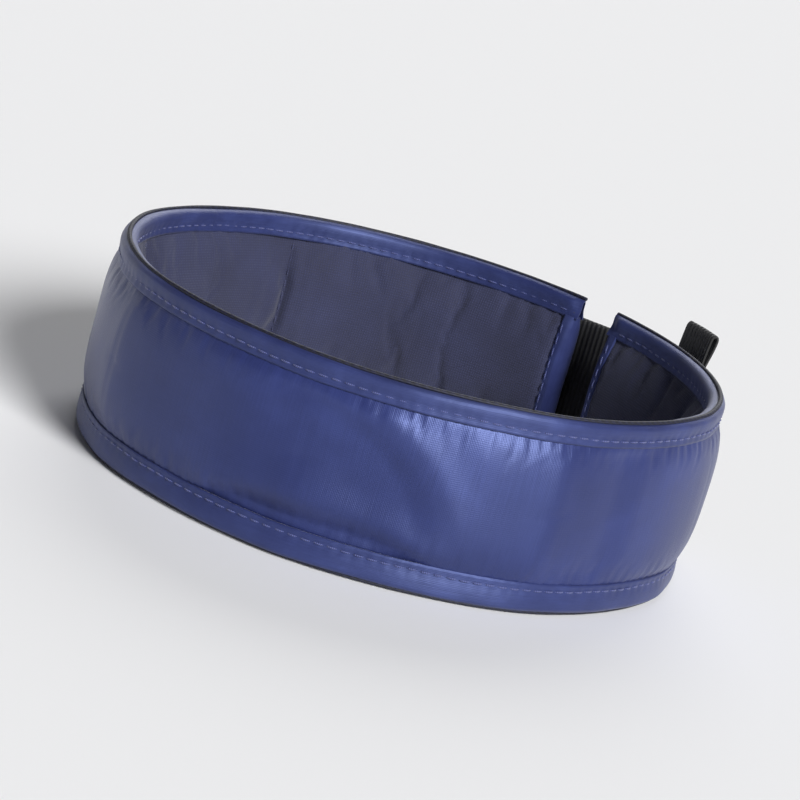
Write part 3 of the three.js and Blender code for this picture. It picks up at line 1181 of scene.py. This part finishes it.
def tape_grid(angles, inner_at, thickness, half, rows, relief=None):
    """Level-topped sections of a tape round the ring, whose inner face is inner_at(angle) from the
    axis. half is its half height at each angle, and relief, given arcs and shares of the half
    height, is what stands out of its outer face."""
    share = np.linspace(-1, 1, rows)
    bend = np.linspace(0, math.pi, TAPE_EDGE_POINTS + 2)[1:-1]
    edge = thickness / 2
    ones, zeros = np.ones(rows), np.zeros(rows)
    up = np.concatenate([share, np.ones(TAPE_EDGE_POINTS), share[::-1], -np.ones(TAPE_EDGE_POINTS)])
    round_up = np.concatenate([zeros, np.sin(bend), zeros, -np.sin(bend)])
    out = np.concatenate([ones, np.cos(bend), -ones, -np.cos(bend)]) * edge
    angle_grid, up_grid = np.meshgrid(angles, up, indexing="ij")
    heights = TAPE_MIDDLE + up_grid * (half[:, None] - edge) + round_up * edge
    radii = np.array([inner_at(angle) for angle in angles])[:, None] + edge + out
    if relief:
        radii = radii + relief(arc_of(angle_grid), up_grid) * np.clip(out / edge, 0, 1)
    return ring_points(angle_grid, radii, heights)


def fine_angles(low, high, step):
    return np.linspace(low, high, max(2, round(arc_of(high - low) / step)) + 1)


def stitches_along(corners, radius_at, pitch=STITCH_PITCH):
    """Places for stitches over a tape, along straight lines between (angle, height) corners."""
    places = []
    for (angle, height), (next_angle, next_height) in zip(corners[:-1], corners[1:]):
        run = arc_of(next_angle - angle)
        rise = next_height - height
        count = max(1, round(math.hypot(run, rise) / pitch))
        for i in range(count):
            t = (i + 0.5) / count
            at = angle + (next_angle - angle) * t
            along = onward(at) * run + UP * rise
            point = ring_point(at, radius_at(at), height + rise * t)
            places.append((point, along / np.linalg.norm(along), outward(at)))
    return places


def tape_box(low, high, half):
    """The corners of a box of stitches round a tape's middle, in turn from its low end's bottom."""
    bottom, top = TAPE_MIDDLE - half, TAPE_MIDDLE + half
    return [(low, bottom), (high, bottom), (high, top), (low, top)]


def flat_face(angle):
    """The outer cloth's face where the closure's tapes lie on it."""
    turned = angle - 360 if angle > RIGHT_END + 1 else angle
    return float(face_radius(turned)) - 0.2 * CLOTH_PINCH


def loop_inner(angle):
    return flat_face(angle) + TAPE_GAP


def hook_outer(angle):
    """The back of the hook tape, on which the strap lies."""
    tips = loop_inner(max(min(angle, LOOP_TO), LOOP_FROM)) + LOOP_BACKING + LOOP_PILE
    return tips + 0.1 * MM + HOOK_HEIGHT + HOOK_BACKING


def hook_inner(angle):
    return hook_outer(angle) - HOOK_BACKING


def strap_inner(angle):
    """The strap's inner face: on the cloth of the left end, then up and over the hook tape."""
    on_facing = float(smooth_step((STRAP_START + 5 - angle) / 3))
    climb = float(smooth_step((STRAP_START + 2 - angle) / 9))
    sewn = flat_face(max(angle, STRAP_START)) + TAPE_GAP + (FACING_LEAF + 0.3 * MM) * on_facing
    return sewn * (1 - climb) + (hook_outer(min(angle, HOOK_ROOT)) + 0.05 * MM) * climb


def strap_face(angle):
    return strap_inner(angle) + STRAP_THICKNESS + 0.06 * MM


def add_loop_field():
    angles = fine_angles(LOOP_FROM, LOOP_TO, 0.5 * MM)
    ends = arc_of(np.minimum(angles - LOOP_FROM, LOOP_TO - angles))

    def pile(arcs, up):
        tufts = waves(arcs, up * LOOP_HALF, LOOP_TUFTS, 101)
        uneven = waves(arcs, up * LOOP_HALF, LOOP_WAVES, 103)
        from_sides = smooth_step((1 - np.abs(up)) * LOOP_HALF / LOOP_EDGE)
        from_ends = smooth_step(ends / LOOP_EDGE)[:, None]
        laid = LOOP_LAID * (2 - from_sides - from_ends)
        return np.maximum(tufts + uneven - laid, -LOOP_LAID)

    half = rounded_half(ends, LOOP_HALF)
    grid = tape_grid(angles, loop_inner, LOOP_BACKING + LOOP_PILE, half, 49, pile)
    piece = whole_tube("loop_field_pile", grid, LOOP)
    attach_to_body(piece, "band_right")
    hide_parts("loop_field")
    inset = turn_of(LOOP_HEM)
    box = tape_box(LOOP_FROM + inset, LOOP_TO - inset, LOOP_HALF - LOOP_HEM)
    raised = LOOP_BACKING + 0.45 * LOOP_PILE
    places = stitches_along([*box, box[0]], lambda angle: loop_inner(angle) + raised)
    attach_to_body(sew("loop_field_stitching", places, BLACK_THREAD), "band_right")


def webbing_relief(arcs, up):
    """Ribs across the webbing, and the thicker woven edges that stop them."""
    ribs = RIB_DEPTH * np.cos(2 * math.pi * arcs / RIB_PITCH) * (np.abs(up) < RIBS_TO)
    selvedge = SELVEDGE_DEPTH * smooth_step((np.abs(up) - SELVEDGE_FROM) / (SELVEDGE_TO - SELVEDGE_FROM))
    return ribs + selvedge


def add_strap():
    parts = (
        ("root", STRAP_CUT, STRAP_ROOT, ["strap_sewn_end", "strap_middle"]),
        ("tip", STRAP_TIP, STRAP_CUT, ["strap_free_end"]),
    )
    for part, low, high, stands_for in parts:
        angles = fine_angles(low, high, RIB_PITCH / 4)
        half = strap_half(angles, STRAP_HALF, part)
        grid = tape_grid(angles, strap_inner, STRAP_THICKNESS, half, 41, webbing_relief)
        piece = whole_tube(f"strap_{part}_webbing", grid, WEBBING)
        attach_strap(piece, part)
        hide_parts(*stands_for)


def add_strap_stitches():
    """A crossed box where the strap is sewn on, and rows round the hook tape on its other side."""
    inset = turn_of(STRAP_HEM)
    box = tape_box(STRAP_START + 1.5 * inset, STRAP_ROOT - inset, STRAP_HALF - 1.2 * STRAP_HEM)
    places = stitches_along([*box, box[0], box[2]], strap_face)
    places += stitches_along([box[3], box[1]], strap_face)
    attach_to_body(sew("strap_root_box_stitching", places, BLACK_THREAD), "band_left_end")
    for part, low, high in (("root", STRAP_CUT, HOOK_ROOT), ("tip", STRAP_TIP + inset, STRAP_CUT)):
        box = tape_box(low, high, HOOK_HALF - HOOK_HEM)
        closed_end = [box[1], box[2]] if part == "root" else [box[0], box[3]]
        places = []
        for line in ([box[0], box[1]], [box[3], box[2]], closed_end):
            places += stitches_along(line, strap_face)
        attach_strap(sew(f"hook_tape_{part}_stitching", places, BLACK_THREAD), part)


# One moulded hook, in millimetres: (along, up, half width) of a stem that bends over at its tip.
HOOK_STEM = [(0.0, -0.1, 0.17), (0.0, 0.36, 0.13), (0.1, 0.6, 0.12), (0.34, 0.66, 0.1), (0.46, 0.5, 0.06)]


def hook_shape():
    rings = []
    for x, up, half in HOOK_STEM:
        tilt = 0.3 if x > 0 else 0
        ring = [(x + dx * half, dy * half, up + tilt * dx * half) for dx, dy in SQUARE]
        rings.append(np.array(ring) * MM)
    return joined_rings(rings)


def hook_places(low, high):
    """Every row of hooks whose middle lies from the one angle up to the other."""
    step = turn_of(HOOK_PITCH)
    rows = int((HOOK_HALF - HOOK_EDGE) / HOOK_PITCH)
    places = []
    for column in range(math.ceil(low / step - 0.5), math.ceil(high / step - 0.5)):
        angle = (column + 0.5) * step
        for row in range(-rows, rows + 1):
            facing = 1 if (row + column) % 2 else -1
            root = ring_point(angle, hook_inner(angle), TAPE_MIDDLE + row * HOOK_PITCH)
            places.append((root, facing * onward(angle), -outward(angle)))
    return places


def add_hook_tape():
    margin = turn_of(HOOK_MARGIN)
    parts = (
        ("root", STRAP_CUT, HOOK_ROOT, "hook_tape_middle"),
        ("tip", STRAP_TIP + turn_of(HOOK_INSET), STRAP_CUT, "hook_tape_free_end"),
    )
    for part, low, high, node in parts:
        angles = fine_angles(low, high, 0.8 * MM)
        grid = tape_grid(angles, hook_inner, HOOK_BACKING, strap_half(angles, HOOK_HALF, part), 21)
        piece = whole_tube(f"hook_tape_{part}_backing", grid, HOOK)
        attach_strap(piece, part)
        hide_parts(node)
        first = low if part == "root" else low + margin
        last = high - margin if part == "root" else high
        hooks = scatter(f"hook_tape_{part}_hooks", hook_shape(), hook_places(first, last), HOOK)
        attach_strap(hooks, part)


TAB_LEAF = 0.5 * MM
TAB_BEND = 1.55 * MM  # height of its folded top
TAB_CLEAR = 0.05 * MM  # below the top of its box
TAB_LEAN = 1.1 * MM  # how far its top leans away from the strap
TAB_SWAY = 0.25 * MM  # how far its middle bows out
TAB_HEM = 0.9 * MM  # from its sides to the ends of its stitching
TAB_SEAMS = (1.2 * MM, 2.1 * MM, 6.4 * MM)  # heights of its rows of stitches


def add_pull_tab():
    """A short ribbon folded in half: its two ends are sewn to the strap and its fold stands up."""
    straight = TAB_HIGH - TAB_LOW - TAB_BEND - TAB_CLEAR
    share = np.linspace(0, 1, 15)
    opening = (0.56 + 0.5 * smooth_step((share - 0.45) / 0.5)) * MM
    bend = np.linspace(0, math.pi, 9)[1:-1]
    loop = []
    for inset in (0, TAB_LEAF):
        half = opening - inset * 0.98
        rounded = straight + (TAB_BEND - inset) * np.sin(bend)
        out = np.concatenate([half, half[-1] * np.cos(bend), -half[::-1]])
        rows = np.stack([out, np.concatenate([share * straight, rounded, share[::-1] * straight])], axis=1)
        loop.append(rows if inset == 0 else rows[::-1])
    out, up = np.concatenate(loop).T
    lean = TAB_LEAN * smooth_step((up - 8 * MM) / (10 * MM))
    sections = []
    for angle in fine_angles(TAB_FROM, TAB_TO, 0.5 * MM):
        sway = TAB_SWAY * math.sin(math.pi * (angle - TAB_FROM) / (TAB_TO - TAB_FROM))
        radii = strap_face(angle) + 0.62 * MM + out + lean + sway * up / straight
        sections.append(ring_points(angle, radii, TAB_LOW + up))
    piece = whole_tube("pull_tab_ribbon", np.array(sections), WEBBING)
    attach_strap(piece, "tip")
    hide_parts("pull_tab")
    low, high = TAB_FROM + turn_of(TAB_HEM), TAB_TO - turn_of(TAB_HEM)
    places = []
    for height in TAB_SEAMS:
        line = [(low, TAB_LOW + height), (high, TAB_LOW + height)]
        places += stitches_along(line, lambda angle: strap_face(angle) + 1.2 * MM, 1.9 * MM)
    attach_strap(sew("pull_tab_stitching", places, BLACK_THREAD), "tip")


# ---- foam pads ----

PADS = {
    "foam_pad_left_end": "band_left_end",
    "foam_pad_left_side": "band_left_side",
    "foam_pad_left_front": "band_left_front",
    "foam_pad_front": "band_front",
    "foam_pad_right_front": "band_right",
    "foam_pad_right_side": "band_right",
    "foam_pad_right_end": "band_right",
}
PAD_MARGIN = 2.2  # degrees between a pad and the corner beside it
PAD_HALF = 1.4 * MM
PAD_ROUND = 1.6 * MM
PAD_DEPTH = 4.8 * MM  # the pads' middle inside the band's face
PAD_SHORT = 3 * MM  # how much lower a squeezed pad is than its box, at the top and at the bottom
PAD_THINNEST = 0.12  # of the square of its thickness, at its ends


def add_pads():
    turns = np.linspace(0, 2 * math.pi, 32, endpoint=False)
    out = PAD_HALF * squared(np.cos(turns), 0.7)
    up = ((PAD_HIGH - PAD_LOW) / 2 - PAD_SHORT) * squared(np.sin(turns), 0.5)
    for (node, body), low, high in zip(PADS.items(), CORNERS[:-1], CORNERS[1:]):
        angles = np.linspace(low + PAD_MARGIN, high - PAD_MARGIN, 40)
        arc = arc_of(angles - angles[0])
        edge = np.clip(np.minimum(arc, arc[::-1]) / PAD_ROUND, 0, 1)
        rounding = np.sqrt(np.clip(1 - (1 - edge) ** 2, PAD_THINNEST, 1))[:, None]
        heights = (PAD_LOW + PAD_HIGH) / 2 + up - np.sign(up) * (1 - rounding) * PAD_ROUND
        radii = face_radius(angles)[:, None] - PAD_DEPTH + out * rounding
        piece = whole_tube(f"{node}_soft", ring_points(angles[:, None], radii, heights), FOAM)
        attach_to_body(piece, body)
        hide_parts(node)


# ---- floor, light and camera ----

CAMERA_AZIMUTH = 36
CAMERA_ELEVATION = 14.5
CAMERA_ROLL = 16.2
CAMERA_DISTANCE = 0.75
RING_SHARE = 0.8  # of the picture's width that the ring fills
NEAREST, FURTHEST = 0.01, 50  # what the camera sees
FLOOR_HALF = 6
FLOOR_GAP = 0.2 * MM  # between the floor and the band
FLOOR_COLOUR = (0.84, 0.84, 0.85, 1)
SKY_COLOUR = (0.97, 0.98, 1.0, 1)
HORIZON_BAND = {  # sines of the elevations that it fades between, and its strengths there
    "From Min": 0.12,
    "From Max": 0.2,
    "To Min": 0.74,
    "To Max": 0.06,
}


def direction(azimuth, elevation):
    a, e = math.radians(azimuth), math.radians(elevation)
    return Vector((math.sin(a) * math.cos(e), -math.cos(a) * math.cos(e), math.sin(e)))


def add_camera():
    data = bpy.data.cameras.new("camera")
    camera = link(bpy.data.objects.new("camera", data))
    target = Vector((0, CENTRE_Y, BAND_TOP / 2))
    back = direction(CAMERA_AZIMUTH, CAMERA_ELEVATION)
    roll = Matrix.Rotation(math.radians(CAMERA_ROLL), 3, "Z").to_quaternion()
    camera.rotation_mode = "QUATERNION"
    camera.rotation_quaternion = (-back).to_track_quat("-Z", "Y") @ roll
    camera.location = target + back * CAMERA_DISTANCE
    data.lens = data.sensor_width * CAMERA_DISTANCE * RING_SHARE / (2 * RING_RADIUS)
    data.clip_start = NEAREST
    data.clip_end = FURTHEST
    bpy.context.scene.camera = camera


def add_soft_light(name, azimuth, elevation, spread, brightness):
    """A large light far away: brightness 1 makes white paper that faces it look white."""
    data = bpy.data.lights.new(name, "SUN")
    data.angle = math.radians(spread)
    data.energy = brightness * math.pi
    lamp = link(bpy.data.objects.new(name, data))
    lamp.rotation_euler = (-direction(azimuth, elevation)).to_track_quat("-Z", "Y").to_euler()


def add_floor():
    mesh = bpy.data.meshes.new("floor")
    mesh.from_pydata([(FLOOR_HALF * x, FLOOR_HALF * y, 0) for x, y in SQUARE], [], [(0, 1, 2, 3)])
    floor = link(bpy.data.objects.new("floor", mesh))
    floor.location.z = -FLOOR_GAP
    paper = bpy.data.materials.new("pale_floor")
    paper.use_nodes = True
    shader = paper.node_tree.nodes["Principled BSDF"]
    shader.inputs["Base Color"].default_value = FLOOR_COLOUR
    shader.inputs["Roughness"].default_value = 0.9
    mesh.materials.append(paper)


def make_surroundings():
    """Dim all round, with a pale band along the horizon that carries the paper on upwards."""
    world = bpy.data.worlds.new("studio")
    world.use_nodes = True
    nodes, links = world.node_tree.nodes, world.node_tree.links
    place = nodes.new("ShaderNodeTexCoord")
    split = nodes.new("ShaderNodeSeparateXYZ")
    band = nodes.new("ShaderNodeMapRange")
    band.interpolation_type = "SMOOTHSTEP"
    for socket, value in HORIZON_BAND.items():
        band.inputs[socket].default_value = value
    links.new(place.outputs["Generated"], split.inputs["Vector"])
    links.new(split.outputs["Z"], band.inputs["Value"])
    links.new(band.outputs["Result"], nodes["Background"].inputs["Strength"])
    nodes["Background"].inputs["Color"].default_value = SKY_COLOUR
    return world


def add_studio():
    add_floor()
    scene = bpy.context.scene
    scene.world = make_surroundings()
    scene.view_settings.view_transform = "Standard"
    add_soft_light("key", CAMERA_AZIMUTH + 35, 31, 24, 1.36)
    add_soft_light("back", CAMERA_AZIMUTH + 175, 34, 40, 0.38)


# ---- the scene ----

add_camera()
add_studio()
outer_at = radii_of(add_outer_cloth())
neck_at = radii_of(add_lining())
add_bindings()
add_shade_cords()
add_binding_stitches()
channel_stitches(neck_at)
add_facings(outer_at, neck_at)
add_pads()
add_loop_field()
add_strap()
add_strap_stitches()
add_hook_tape()
add_pull_tab()
